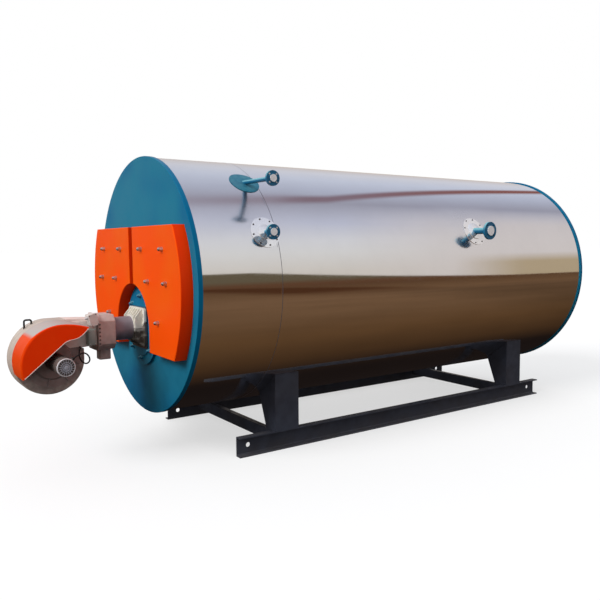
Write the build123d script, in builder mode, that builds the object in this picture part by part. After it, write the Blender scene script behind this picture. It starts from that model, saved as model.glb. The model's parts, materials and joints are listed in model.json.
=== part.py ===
import os
from math import cos, radians, sin, sqrt, tan

from build123d import *

os.makedirs("parts", exist_ok=True)

# General
overrun = 30
fit = 0.4

# Casing: polished cladding over insulation, with a shallow pan on each end
casing_radius = 1040
casing_length = 4604
casing_clearance = 320
jacket_thickness = 90
seam_station = 690
rim_lap = 10
rim_depth = 36
rim_edge_radius = 4
end_plate_thickness = 12

# Drum under the insulation
drum_wall = 14
tube_plate_thickness = 16

# Smoke-box covers on the front end
cover_inset = 73
cover_top = 480
cover_bottom = 507
cover_gap = 80
cover_depth = 98
cover_wall = 8
cover_edge_radius = 6
cover_arch_radius = 360

# Burner plate and the burner's mounting
burner_drop = 340
burner_plate_radius = 315
burner_plate_thickness = 22
burner_pad_radius = 238
burner_pad_thickness = 10
backing_side = 336
backing_thickness = 12
mount_side = 344
mount_top = 165
mount_bottom = 145
mount_corner_radius = 30
mount_thickness = 18
mount_flare = 60
mount_collar_wall = 15
mount_notch_height = 118
mount_gussets = 6
mount_gusset_span = 250
mount_gusset_width = 10
mount_split = 5
mount_ear = 14
mount_ear_height = 40
mount_slot_offset = 144
mount_slot_rise = 104
mount_slot_length = 34
mount_slot_width = 14
mount_hole_rise = 66
mount_hole_radius = 6

# Burner body
tube_radius = 95
tube_length = 241
body_side = 290
body_length = 140
body_top = 130
body_chamfer = 46
body_edge_radius = 10
body_rib_width = 20
body_rib_height = 6
stub_side = 92
stub_drop = 90
stub_edge_radius = 14
stub_station = 344

# Boxes on the near side of the outlet duct
junction_station = 476
junction_rise = 106
junction_width = 58
junction_height = 86
junction_depth = 107
junction_lid = 14
junction_lean = 14
control_station = 486
control_drop = 29
control_width = 60
control_height = 124
control_depth = 88
box_edge_radius = 5

# Fan: volute, plate, hood, motor
scroll_top_drop = 225
scroll_gap = 99
scroll_radius = 255
scroll_step = 18
scroll_width = 200
scroll_edge_radius = 14
outlet_height = 238
duct_length = 235
duct_lap = 44
fan_plate_share = 0.8157
fan_plate_thickness = 12
fan_boss_radius = 150
fan_boss_thickness = 26
hood_depth = 290
hood_wall = 8
hood_edge_radius = 16
hood_tip_angle = 199
hood_open_angle = 214
hood_opening = 30
hood_edge_shares = [(0.80, 1.04), (0.62, 0.83), (0.45, 0.73), (0.24, 0.69), (0.06, 0.60)]
motor_radius = 60
motor_length = 280
motor_fin_height = 6
motor_fin_width = 4
motor_fins = 28
cowl_radius = 66
cowl_length = 82
cowl_wall = 3
cowl_slot_width = 5
cowl_slots = 18
cowl_hub_radius = 14
cowl_edge_radius = 8
gland_radius = 11
gland_length = 30
gland_angle = 30
gland_offset = 260
gland_lead_run = 46
lead_radius = 5.5
lead_route_shares = [
    (0.639, 1.067, 0.302),
    (0.808, 0.933, 0.184),
    (0.894, 0.792, -0.004),
    (0.816, 0.651, -0.125),
    (0.710, 0.518, -0.047),
    (0.686, 0.376, 0.110),
    (0.737, 0.259, 0.239),
    (0.812, 0.149, 0.330),
    (0.812, 0, 0.330),
]
lead_bend_share = 0.45
handle_radius = 7
handle_span = 52
handle_height = 46
handle_bend_radius = 14
handle_angle = 121

# Side nozzles
gauge_station = 610
upper_gauge_share = 0.7856
lower_gauge_share = 0.4077
gauge_stand = 36
gauge_pipe_radius = 17
gauge_bore_radius = 13
gauge_flange_radius = 57.5
gauge_flange_thickness = 18
gauge_face_radius = 34
gauge_bolt_circle_radius = 42.5
gauge_bolt_radius = 7
gauge_rosette_radius = 124
feed_station = 2964
feed_share = 0.4231
feed_stand = 100
feed_pipe_radius = 30
feed_bore_radius = 26
feed_flange_radius = 82.5
feed_flange_thickness = 20
feed_face_radius = 51
feed_bolt_circle_radius = 62.5
feed_bolt_radius = 9
feed_rosette_radius = 140
raised_face = 3
flange_bolts = 4
rosette_thickness = 4
pipe_hole_clearance = 8
cap_thickness = 5
cap_plug_length = 14
cap_lap = 6

# Base
skid_share = 1.4346
skid_start = 478
skid_length = 3794
skid_height = 160
skid_flange_width = 65
skid_flange_thickness = 10
skid_web = 9
skid_root_radius = 9
lash_hole_radius = 20
lash_hole_inset = 105
front_leg_station = 812
rear_leg_station = 3733
leg_width = 230
leg_foot = 146
leg_lean = 110
leg_plate = 12
leg_top_lap = 70
cross_height = 100
cross_flange_width = 48
cross_wall = 8

# Rear end
flue_rise = 430
flue_radius = 225
flue_wall = 6
flue_length = 150
flue_flange_radius = 270
flue_flange_thickness = 14
flue_bolt_circle_radius = 250
flue_bolt_radius = 9
flue_bolts = 12
clean_drop = 340
clean_radius = 300
clean_thickness = 18
clean_pad_radius = 250
clean_pad_thickness = 14

# Values that follow
axis_height = casing_clearance + casing_radius
rim_radius = casing_radius + rim_lap
drum_radius = casing_radius - jacket_thickness
jacket_start = end_plate_thickness
jacket_end = casing_length - end_plate_thickness
skid_half = casing_radius * skid_share / 2
cover_radius = casing_radius - cover_inset
upper_gauge_rise = casing_radius * upper_gauge_share
lower_gauge_rise = casing_radius * lower_gauge_share
gauge_reach = casing_radius + gauge_stand
feed_rise = casing_radius * feed_share
feed_reach = casing_radius + feed_stand
plate_front = burner_plate_thickness + burner_pad_thickness
mount_back = plate_front + backing_thickness
mount_front = mount_back + mount_thickness + mount_flare
body_back = mount_back + tube_length
body_front = body_back + body_length
swing = scroll_step / 2
radius_b = scroll_radius + scroll_step
radius_c = radius_b + scroll_step
fan_drop = scroll_top_drop + radius_c + swing
fan_plate_radius = scroll_radius * fan_plate_share
fan_reach = body_front + scroll_gap + scroll_radius - swing
outlet_reach = body_front + duct_length
scroll_left = fan_reach + scroll_radius + scroll_step + swing
front_x = scroll_left - (scroll_left + casing_length + flue_length) / 2
scroll_half = scroll_width / 2


def across(station):
    # plane across the boiler's axis: local x is Y, local y is the height over the axis
    return Plane(origin=(front_x + station, 0, axis_height), x_dir=(0, 1, 0), z_dir=(1, 0, 0))


def beside(reach):
    # plane on the near side, facing out: local x is the station, local y the height over the axis
    return Plane(origin=(front_x, -reach, axis_height), x_dir=(1, 0, 0), z_dir=(0, -1, 0))


def save(piece, name):
    piece.part.label = name
    export_step(piece.part, f"parts/{name}.step")


def far_side(piece):
    with BuildPart() as copy:
        mirror(piece.part, about=Plane.XZ)
    return copy


# Casing courses, with holes where the nozzle pipes pass
gauge_rises = (upper_gauge_rise, lower_gauge_rise)
pipe_places = [(gauge_station, rise, gauge_pipe_radius) for rise in gauge_rises]
pipe_places.append((feed_station, feed_rise, feed_pipe_radius))


def course(start, stop):
    with BuildPart() as ring:
        with BuildSketch(across(start)):
            Circle(casing_radius)
            Circle(drum_radius + fit, mode=Mode.SUBTRACT)
        extrude(amount=stop - start)
        for station, rise, radius in pipe_places:
            if start < station < stop:
                with BuildSketch(beside(0)):
                    with Locations((station, rise)):
                        Circle(radius + pipe_hole_clearance)
                extrude(amount=casing_radius + overrun, both=True, mode=Mode.SUBTRACT)
    return ring


save(course(jacket_start, seam_station), "casing_front_course")
save(course(seam_station, jacket_end), "casing_rear_course")

# Drum and its tube plates
with BuildPart() as drum:
    with BuildSketch(across(jacket_start)):
        Circle(drum_radius)
        Circle(drum_radius - drum_wall, mode=Mode.SUBTRACT)
    extrude(amount=jacket_end - jacket_start)
save(drum, "pressure_drum")

with BuildPart() as tube_plates:
    for plate_station in (jacket_start, jacket_end - tube_plate_thickness):
        with BuildSketch(across(plate_station)):
            Circle(drum_radius - drum_wall - fit)
        extrude(amount=tube_plate_thickness)
save(tube_plates, "tube_plates")


# End plates: shallow pans whose rims lap over the cladding
def end_pan(face, inward):
    with BuildPart() as pan:
        with BuildSketch(across(face)):
            Circle(rim_radius)
        extrude(amount=inward * rim_depth)
        with BuildSketch(across(face + inward * end_plate_thickness)):
            Circle(casing_radius + fit)
        extrude(amount=inward * (rim_depth + overrun), mode=Mode.SUBTRACT)
        outer_face = pan.faces().sort_by(Axis.X)[0 if inward > 0 else -1]
        fillet(outer_face.edges(), rim_edge_radius)
    return pan


save(end_pan(0, 1), "front_end_plate")
save(end_pan(casing_length, -1), "rear_end_plate")

# Smoke-box covers: hollow boxes that follow the rim and arch over the burner plate
cover_height = cover_top + cover_bottom
with BuildPart() as cover:
    with BuildSketch(across(0)):
        Circle(cover_radius)
        with Locations((-cover_radius / 2 - cover_gap / 2, (cover_top - cover_bottom) / 2)):
            Rectangle(cover_radius, cover_height, mode=Mode.INTERSECT)
        with Locations((0, -burner_drop)):
            Circle(cover_arch_radius, mode=Mode.SUBTRACT)
        with Locations((0, -burner_drop)):
            Rectangle(
                2 * cover_arch_radius,
                cover_bottom,
                align=(Align.CENTER, Align.MAX),
                mode=Mode.SUBTRACT,
            )
    extrude(amount=-cover_depth)
    front = cover.faces().sort_by(Axis.X)[0]
    fillet(front.edges(), cover_edge_radius)
    back = cover.faces().sort_by(Axis.X)[-1]
    offset(amount=-cover_wall, openings=back)
save(cover, "smokebox_cover_near")
save(far_side(cover), "smokebox_cover_far")

# Burner plate: a round blank with a raised pad
with BuildPart() as burner_plate:
    with BuildSketch(across(0)):
        with Locations((0, -burner_drop)):
            Circle(burner_plate_radius)
    extrude(amount=-burner_plate_thickness)
    with BuildSketch(across(-burner_plate_thickness)):
        with Locations((0, -burner_drop)):
            Circle(burner_pad_radius)
    extrude(amount=-burner_pad_thickness)
save(burner_plate, "burner_plate")

with BuildPart() as backing:
    with BuildSketch(across(-plate_front)):
        with Locations((0, -burner_drop)):
            RectangleRounded(backing_side, backing_side, mount_corner_radius)
            Circle(tube_radius + fit, mode=Mode.SUBTRACT)
    extrude(amount=-backing_thickness)
save(backing, "burner_backing_plate")

# Burner mounting: a square cast flange, a collar split at the burner's axis, and gussets between them
mount_half = mount_side / 2
collar_radius = tube_radius + mount_collar_wall
gusset_pitch = mount_gusset_span / (mount_gussets - 1)
with BuildPart() as mounting:
    with BuildSketch(across(-mount_back)):
        with Locations((0, -burner_drop + (mount_top - mount_bottom) / 2)):
            RectangleRounded(mount_side, mount_top + mount_bottom, mount_corner_radius)
        with Locations((0, -burner_drop)):
            for notch_side in (-mount_half, mount_half):
                Polygon(
                    (notch_side, mount_notch_height / 2),
                    (notch_side * collar_radius / mount_half, 0),
                    (notch_side, -mount_notch_height / 2),
                    align=None,
                    mode=Mode.SUBTRACT,
                )
    extrude(amount=-mount_thickness)
    with BuildSketch(across(-mount_back)):
        with Locations((0, -burner_drop)):
            Circle(collar_radius)
            Rectangle(2 * (collar_radius + mount_ear), mount_ear_height)
    extrude(amount=-(mount_front - mount_back))
    for gusset in range(mount_gussets):
        gusset_y = gusset * gusset_pitch - mount_gusset_span / 2
        for edge, crown in ((mount_top, tube_radius), (-mount_bottom, -tube_radius)):
            with BuildSketch(beside(gusset_y - mount_gusset_width / 2)):
                with Locations((0, -burner_drop)):
                    Polygon(
                        (-mount_back, 0),
                        (-mount_back, edge),
                        (-mount_back - mount_thickness, edge),
                        (-mount_front, crown),
                        (-mount_front, 0),
                        align=None,
                    )
            extrude(amount=mount_gusset_width)
    with BuildSketch(across(-mount_back - mount_thickness)):
        with Locations((0, -burner_drop)):
            Rectangle(mount_side, mount_split)
    extrude(amount=-mount_flare - overrun, mode=Mode.SUBTRACT)
    with BuildSketch(across(-mount_back)):
        with Locations((0, -burner_drop)):
            for slot_y in (-mount_slot_offset, mount_slot_offset):
                for up in (-1, 1):
                    with Locations((slot_y, up * mount_slot_rise)):
                        SlotOverall(mount_slot_length, mount_slot_width, rotation=90)
                    with Locations((slot_y, up * mount_hole_rise)):
                        Circle(mount_hole_radius)
    extrude(amount=-mount_thickness, mode=Mode.SUBTRACT)
    with BuildSketch(across(-mount_back)):
        with Locations((0, -burner_drop)):
            Circle(tube_radius + fit)
    extrude(amount=-mount_front - overrun, mode=Mode.SUBTRACT)
save(mounting, "burner_mounting")

with BuildPart() as blast_tube:
    with BuildSketch(across(-plate_front)):
        with Locations((0, -burner_drop)):
            Circle(tube_radius)
    extrude(amount=-(body_back - plate_front))
save(blast_tube, "blast_tube")

# Burner body: a cast octagon with a rib round its front end
body_half = body_side / 2
with BuildPart() as body:
    with BuildSketch(across(-body_back)) as body_outline:
        with Locations((0, -burner_drop + body_top)):
            Rectangle(body_side, body_top + body_half, align=(Align.CENTER, Align.MAX))
        chamfer(body_outline.vertices(), body_chamfer)
    extrude(amount=-body_length)
    fillet(body.edges().filter_by(Axis.X), body_edge_radius)
    fillet(body.faces().sort_by(Axis.X)[-1].edges(), body_edge_radius)
    with BuildSketch(across(-body_front)) as rib_outline:
        with Locations((0, -burner_drop + body_top + body_rib_height)):
            Rectangle(
                body_side + 2 * body_rib_height,
                body_top + body_half + 2 * body_rib_height,
                align=(Align.CENTER, Align.MAX),
            )
        chamfer(rib_outline.vertices(), body_chamfer)
    extrude(amount=body_rib_width)
save(body, "burner_body")

with BuildPart() as stub:
    with BuildSketch(Plane.XY.offset(axis_height - burner_drop - body_half)):
        with Locations((front_x - stub_station, 0)):
            RectangleRounded(stub_side, stub_side, stub_edge_radius)
    extrude(amount=-stub_drop)
    fillet(stub.faces().sort_by(Axis.Z)[0].edges(), stub_edge_radius / 2)
save(stub, "burner_stub")

# Boxes on the duct's near side: a leaning junction box over an upright control box
junction_place = (-junction_station, -burner_drop + junction_rise)
with BuildPart() as junction:
    with BuildSketch(beside(scroll_half)):
        with Locations(junction_place):
            Rectangle(junction_width, junction_height, rotation=junction_lean)
    extrude(amount=junction_depth - junction_lid)
    fillet(junction.edges().filter_by(Axis.Y), box_edge_radius)
    with BuildSketch(beside(scroll_half + junction_depth - junction_lid)):
        with Locations(junction_place):
            RectangleRounded(
                junction_width + box_edge_radius,
                junction_height + box_edge_radius,
                box_edge_radius,
                rotation=junction_lean,
            )
    extrude(amount=junction_lid)
save(junction, "junction_box")

with BuildPart() as control:
    with BuildSketch(beside(scroll_half)):
        with Locations((-control_station, -burner_drop - control_drop)):
            Rectangle(control_width, control_height)
    extrude(amount=control_depth)
    fillet(control.edges().filter_by(Axis.Y), box_edge_radius)
    fillet(control.faces().sort_by(Axis.Y)[0].edges(), box_edge_radius / 2)
save(control, "control_box")

# Fan scroll: three growing quarter arcs and a straight outlet
centre_a = (-fan_reach - swing, -fan_drop - swing)
centre_b = (-fan_reach - swing, -fan_drop + swing)
centre_c = (-fan_reach + swing, -fan_drop + swing)
scroll_right = centre_a[0] + scroll_radius
scroll_top = centre_c[1] + radius_c
outlet_bottom = scroll_top - outlet_height
heart = (centre_c[0], centre_a[1])
with BuildPart() as volute:
    with BuildSketch(beside(-scroll_half)):
        with BuildLine():
            CenterArc(centre_a, scroll_radius, 0, -90)
            CenterArc(centre_b, radius_b, -90, -90)
            CenterArc(centre_c, radius_c, 180, -90)
            Polyline((centre_c[0], scroll_top), heart, (scroll_right, centre_a[1]))
        make_face()
    extrude(amount=scroll_width)
    fillet(volute.edges().filter_by(GeomType.CIRCLE), scroll_edge_radius)
with BuildPart() as outlet:
    with BuildSketch(beside(-scroll_half)):
        with Locations((centre_c[0], scroll_top)):
            Rectangle(
                -outlet_reach - centre_c[0],
                outlet_height,
                align=(Align.MIN, Align.MAX),
            )
    extrude(amount=scroll_width)
    fillet(outlet.edges().filter_by(Axis.X).group_by(Axis.Z)[-1], scroll_edge_radius)
with BuildPart() as tongue:
    with BuildSketch(beside(-scroll_half)):
        with Locations(heart):
            Rectangle(
                scroll_right - heart[0],
                outlet_bottom - heart[1],
                align=(Align.MIN, Align.MIN),
            )
    extrude(amount=scroll_width)
    fillet(tongue.edges().filter_by(Axis.Z).group_by(Axis.X)[-1], scroll_edge_radius)
with BuildPart() as scroll:
    add(volute.part)
    add(outlet.part)
    add(tongue.part)
save(scroll, "fan_scroll")

# Outlet duct between the scroll and the body
with BuildPart() as duct:
    with BuildSketch(across(-outlet_reach)):
        with Locations((0, scroll_top - outlet_height / 2)):
            Rectangle(scroll_width, outlet_height)
    with BuildSketch(across(-body_front)):
        with Locations((0, -burner_drop)):
            Rectangle(scroll_width, body_side - 2 * duct_lap)
    loft()
save(duct, "outlet_duct")

# Stepped plate between the scroll and the motor
plate_reach = scroll_half + fan_plate_thickness
with BuildPart() as fan_plate:
    with BuildSketch(beside(scroll_half)):
        with Locations((-fan_reach, -fan_drop)):
            Circle(fan_plate_radius)
    extrude(amount=fan_plate_thickness)
    with BuildSketch(beside(plate_reach)):
        with Locations((-fan_reach, -fan_drop)):
            Circle(fan_boss_radius)
    extrude(amount=fan_boss_thickness, taper=30)
save(fan_plate, "fan_plate")

# Intake hood: wraps the scroll's outline, open along its lower edge
hood_edge = [(-fan_reach + u * scroll_radius, -fan_drop + v * scroll_radius) for u, v in hood_edge_shares]
hood_edge_out = [(u + hood_opening, v - hood_opening) for u, v in hood_edge[1:]]
with BuildPart() as hood:
    with BuildSketch(beside(scroll_half)):
        with BuildLine():
            low = CenterArc(centre_b, radius_b, hood_tip_angle, 180 - hood_tip_angle)
            high = CenterArc(centre_c, radius_c, 180, -90)
            TangentArc(high @ 1, hood_edge[0], tangent=(1, 0))
            Spline(*hood_edge)
            Line(hood_edge[-1], low @ 0)
        make_face()
    extrude(amount=hood_depth)
    crown = hood.edges().filter_by(GeomType.CIRCLE).group_by(Axis.Y)[0]
    fillet(crown, hood_edge_radius)
    # the hollow runs out through the lower edge and leaves that side open
    with BuildSketch(beside(scroll_half)):
        with BuildLine():
            low = CenterArc(centre_b, radius_b - hood_wall, hood_open_angle, 180 - hood_open_angle)
            high = CenterArc(centre_c, radius_c - hood_wall, 180, -90)
            tip = (hood_edge[0][0], hood_edge[0][1] - hood_wall)
            TangentArc(high @ 1, tip, tangent=(1, 0))
            Polyline(tip, *hood_edge_out, low @ 0)
        make_face()
    extrude(amount=hood_depth - hood_wall, mode=Mode.SUBTRACT)
save(hood, "intake_hood")

# Motor on the plate, finned, with a gland for its lead
motor_back = plate_reach + fan_boss_thickness
with BuildPart() as motor:
    with BuildSketch(beside(motor_back)):
        with Locations((-fan_reach, -fan_drop)):
            Circle(motor_radius)
            with PolarLocations(motor_radius, motor_fins):
                Rectangle(2 * motor_fin_height, motor_fin_width)
    extrude(amount=motor_length)
    gland_plane = Plane(
        origin=(front_x - fan_reach, -motor_back - gland_offset, axis_height - fan_drop),
        x_dir=(0, 1, 0),
        z_dir=(cos(radians(gland_angle)), 0, sin(radians(gland_angle))),
    )
    with BuildSketch(gland_plane):
        Circle(gland_radius)
    extrude(amount=motor_radius + gland_length)
save(motor, "fan_motor")

# Cowl over the motor's own fan, with a slotted end
cowl_back = motor_back + motor_length
with BuildPart() as cowl:
    with BuildSketch(beside(cowl_back)):
        with Locations((-fan_reach, -fan_drop)):
            Circle(cowl_radius)
    extrude(amount=cowl_length)
    end_face = cowl.faces().sort_by(Axis.Y)[0]
    fillet(end_face.edges(), cowl_edge_radius)
    offset(amount=-cowl_wall, openings=cowl.faces().sort_by(Axis.Y)[-1])
    slot_length = cowl_radius - cowl_edge_radius - cowl_hub_radius - cowl_slot_width
    with BuildSketch(beside(cowl_back + cowl_length)):
        with Locations((-fan_reach, -fan_drop)):
            with PolarLocations(cowl_hub_radius + slot_length / 2 + cowl_slot_width / 2, cowl_slots):
                SlotOverall(slot_length, cowl_slot_width)
    extrude(amount=-cowl_wall - cowl_edge_radius, mode=Mode.SUBTRACT)
save(cowl, "motor_cowl")

# Motor lead: leaves the gland, hangs in a loop and ends on the duct's near side
def along_gland(distance):
    return (
        -fan_reach + distance * cos(radians(gland_angle)),
        -motor_back - gland_offset,
        -fan_drop + distance * sin(radians(gland_angle)),
    )


gland_tip = motor_radius + gland_length
lead_route = [along_gland(gland_tip), along_gland(gland_tip + gland_lead_run)]
for along, out, up in lead_route_shares:
    lead_route.append(
        (
            -fan_reach + along * scroll_radius,
            -scroll_half - out * scroll_radius,
            -fan_drop + up * scroll_radius,
        )
    )
lead_points = [Vector(front_x + x, y, axis_height + z) for x, y, z in lead_route]
lead_bends = []
for before, at, after in zip(lead_points, lead_points[1:], lead_points[2:]):
    turn = (at - before).get_angle(after - at)
    shorter = min((at - before).length, (after - at).length)
    lead_bends.append(lead_bend_share * shorter / tan(radians(turn / 2)))
print("lead bend radii", [round(bend) for bend in lead_bends])
with BuildPart() as lead:
    with BuildLine() as lead_path:
        FilletPolyline(*lead_points, radius=lead_bends)
    with BuildSketch(Plane(origin=lead_path.line @ 0, z_dir=lead_path.line % 0)):
        Circle(lead_radius)
    sweep()
lead_length = sum(edge.length for edge in lead_path.edges())
print("lead length", round(lead_length), "volume", round(lead.part.volume))
save(lead, "motor_lead")

# Handle: a bent bar that stands on the scroll
handle_foot = (
    centre_c[0] + radius_c * cos(radians(handle_angle)),
    centre_c[1] + radius_c * sin(radians(handle_angle)),
)
handle_left = handle_foot[0] - handle_span / 2
handle_right = handle_foot[0] + handle_span / 2
handle_top = handle_foot[1] + handle_height
with BuildPart() as handle:
    with BuildLine(beside(0)) as handle_path:
        FilletPolyline(
            (handle_left, centre_c[1]),
            (handle_left, handle_top),
            (handle_right, handle_top),
            (handle_right, centre_c[1]),
            radius=handle_bend_radius,
        )
    with BuildSketch(Plane(origin=handle_path.line @ 0, z_dir=handle_path.line % 0)):
        Circle(handle_radius)
    sweep()
    with BuildSketch(beside(-overrun)):
        with Locations(centre_c):
            Circle(radius_c + fit)
    extrude(amount=2 * overrun, mode=Mode.SUBTRACT)
save(handle, "lifting_handle")


# Side nozzles: pipe, flange with bolt holes and raised face
def nozzle(station, rise, reach, pipe, bore, flange, thickness, face, bolt_circle, bolt):
    with BuildPart() as stem:
        with BuildSketch(beside(reach - raised_face)):
            with Locations((station, rise)):
                Circle(flange)
                with PolarLocations(bolt_circle, flange_bolts, start_angle=360 / flange_bolts / 2):
                    Circle(bolt, mode=Mode.SUBTRACT)
        extrude(amount=-thickness)
        with BuildSketch(beside(reach)):
            with Locations((station, rise)):
                Circle(face)
        extrude(amount=-raised_face - thickness / 2)
        with BuildSketch(beside(0)):
            with Locations((station, rise)):
                Circle(pipe)
        extrude(amount=reach - raised_face - thickness / 2)
        with BuildSketch(across(station - flange - overrun)):
            Circle(drum_radius + fit)
        extrude(amount=2 * (flange + overrun), mode=Mode.SUBTRACT)
        with BuildSketch(beside(0)):
            with Locations((station, rise)):
                Circle(bore)
        extrude(amount=reach + overrun, mode=Mode.SUBTRACT)
    return stem


def rosette(station, rise, radius, pipe):
    lean = rise / casing_radius
    outward = (0, -sqrt(1 - lean**2), lean)
    seat = (
        front_x + station,
        casing_radius * outward[1],
        axis_height + casing_radius * outward[2],
    )
    with BuildPart() as ring:
        with BuildSketch(Plane(origin=seat, x_dir=(1, 0, 0), z_dir=outward)):
            Circle(radius)
        extrude(amount=casing_radius / 4, both=True)
        with BuildSketch(across(station - radius - overrun)):
            Circle(casing_radius + fit + rosette_thickness)
            Circle(casing_radius + fit, mode=Mode.SUBTRACT)
        extrude(amount=2 * (radius + overrun), mode=Mode.INTERSECT)
        with BuildSketch(beside(0)):
            with Locations((station, rise)):
                Circle(pipe + fit)
        extrude(amount=casing_radius + overrun, mode=Mode.SUBTRACT)
    return ring


def cap(station, rise, reach, bore, face):
    with BuildPart() as plug:
        with BuildSketch(beside(reach)):
            with Locations((station, rise)):
                Circle(face - cap_lap)
        extrude(amount=cap_thickness)
        with BuildSketch(beside(reach)):
            with Locations((station, rise)):
                Circle(bore - fit)
        extrude(amount=-cap_plug_length)
    return plug


gauge_sizes = (
    gauge_reach,
    gauge_pipe_radius,
    gauge_bore_radius,
    gauge_flange_radius,
    gauge_flange_thickness,
    gauge_face_radius,
    gauge_bolt_circle_radius,
    gauge_bolt_radius,
)
feed_sizes = (
    feed_reach,
    feed_pipe_radius,
    feed_bore_radius,
    feed_flange_radius,
    feed_flange_thickness,
    feed_face_radius,
    feed_bolt_circle_radius,
    feed_bolt_radius,
)
nozzles = [
    ("upper_gauge", gauge_station, upper_gauge_rise, gauge_sizes, gauge_rosette_radius),
    ("lower_gauge", gauge_station, lower_gauge_rise, gauge_sizes, gauge_rosette_radius),
    ("feed", feed_station, feed_rise, feed_sizes, feed_rosette_radius),
]
for name, station, rise, sizes, rosette_radius in nozzles:
    stem = nozzle(station, rise, *sizes)
    save(stem, f"{name}_nozzle_near")
    save(far_side(stem), f"{name}_nozzle_far")

rosettes = [rosette(station, rise, radius, sizes[1]) for _, station, rise, sizes, radius in nozzles]
caps = [cap(station, rise, sizes[0], sizes[2], sizes[5]) for _, station, rise, sizes, _ in nozzles]
for group, group_name in ((rosettes[1:], "rosettes"), (caps, "nozzle_caps")):
    with BuildPart() as together:
        for piece in group:
            add(piece.part)
    save(together, f"{group_name}_near")
    save(far_side(together), f"{group_name}_far")
with BuildPart() as saddles:
    add(rosettes[0].part)
    mirror(about=Plane.XZ)
save(saddles, "gauge_saddles")

# Skids: channels with their open side outward
skid_foot = -axis_height
with BuildPart() as skid:
    with BuildSketch(across(skid_start)) as channel:
        with Locations((-skid_half, skid_foot)):
            Rectangle(skid_flange_width, skid_height, align=(Align.MIN, Align.MIN))
        with Locations((-skid_half, skid_foot + skid_flange_thickness)):
            Rectangle(
                skid_flange_width - skid_web,
                skid_height - 2 * skid_flange_thickness,
                align=(Align.MIN, Align.MIN),
                mode=Mode.SUBTRACT,
            )
        inner = channel.vertices().group_by(Axis.Y)[1]
        fillet(inner, skid_root_radius)
    extrude(amount=skid_length)
    with BuildSketch(beside(skid_half)):
        for hole_station in (skid_start + lash_hole_inset, skid_start + skid_length - lash_hole_inset):
            with Locations((hole_station, skid_foot + skid_height / 2)):
                Circle(lash_hole_radius)
    extrude(amount=-skid_flange_width - overrun, mode=Mode.SUBTRACT)
save(skid, "skid_near")
save(far_side(skid), "skid_far")

# Saddle legs: tapered boxes of plate, cut to the casing
leg_bottom = skid_height - axis_height
leg_inner = skid_half - leg_foot
leg_seat = casing_radius + fit
inner_y = leg_inner - leg_lean
inner_z = -sqrt(leg_seat**2 - inner_y**2)
slope = leg_lean / (inner_z - leg_bottom)
outer_z = -sqrt(leg_seat**2 - skid_half**2)
leg_corners = [
    (-skid_half, leg_bottom),
    (-leg_inner, leg_bottom),
    (-inner_y + slope * leg_top_lap, inner_z + leg_top_lap),
    (-skid_half, outer_z + leg_top_lap),
]
for leg_station, leg_name in ((front_leg_station, "front"), (rear_leg_station, "rear")):
    with BuildPart() as leg:
        with BuildSketch(across(leg_station)):
            Polygon(*leg_corners, align=None)
        extrude(amount=leg_width)
        with BuildSketch(across(leg_station + leg_plate)):
            Polygon(*leg_corners, align=None)
            offset(amount=-leg_plate, kind=Kind.INTERSECTION, mode=Mode.REPLACE)
        extrude(amount=leg_width - 2 * leg_plate, mode=Mode.SUBTRACT)
        with BuildSketch(across(leg_station - overrun)):
            Circle(leg_seat)
        extrude(amount=leg_width + 2 * overrun, mode=Mode.SUBTRACT)
    save(leg, f"{leg_name}_leg_near")
    save(far_side(leg), f"{leg_name}_leg_far")

    # Cross member between the skid webs, under the saddle
    cross_half = skid_half - skid_flange_width
    with BuildPart() as cross:
        with BuildSketch(beside(-cross_half)):
            with Locations((leg_station, leg_bottom)):
                Rectangle(cross_flange_width, cross_height, align=(Align.MIN, Align.MAX))
            with Locations((leg_station + cross_wall, leg_bottom - cross_wall)):
                Rectangle(
                    cross_flange_width,
                    cross_height - 2 * cross_wall,
                    align=(Align.MIN, Align.MAX),
                    mode=Mode.SUBTRACT,
                )
        extrude(amount=2 * cross_half)
    save(cross, f"{leg_name}_cross_member")

# Rear end: flue collar with its flange, and the clean-out cover
with BuildPart() as flue:
    with BuildSketch(across(casing_length)):
        with Locations((0, flue_rise)):
            Circle(flue_radius)
    extrude(amount=flue_length)
    with BuildSketch(across(casing_length + flue_length - flue_flange_thickness)):
        with Locations((0, flue_rise)):
            Circle(flue_flange_radius)
            with PolarLocations(flue_bolt_circle_radius, flue_bolts):
                Circle(flue_bolt_radius, mode=Mode.SUBTRACT)
    extrude(amount=flue_flange_thickness)
    with BuildSketch(across(casing_length)):
        with Locations((0, flue_rise)):
            Circle(flue_radius - flue_wall)
    extrude(amount=flue_length + overrun, mode=Mode.SUBTRACT)
save(flue, "flue_collar")

with BuildPart() as clean_out:
    with BuildSketch(across(casing_length)):
        with Locations((0, -clean_drop)):
            Circle(clean_radius)
    extrude(amount=clean_thickness)
    with BuildSketch(across(casing_length + clean_thickness)):
        with Locations((0, -clean_drop)):
            Circle(clean_pad_radius)
    extrude(amount=clean_pad_thickness, taper=20)
save(clean_out, "clean_out_cover")
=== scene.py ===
import json
import math

import bmesh
import bpy
from mathutils import Matrix, Vector

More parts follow.
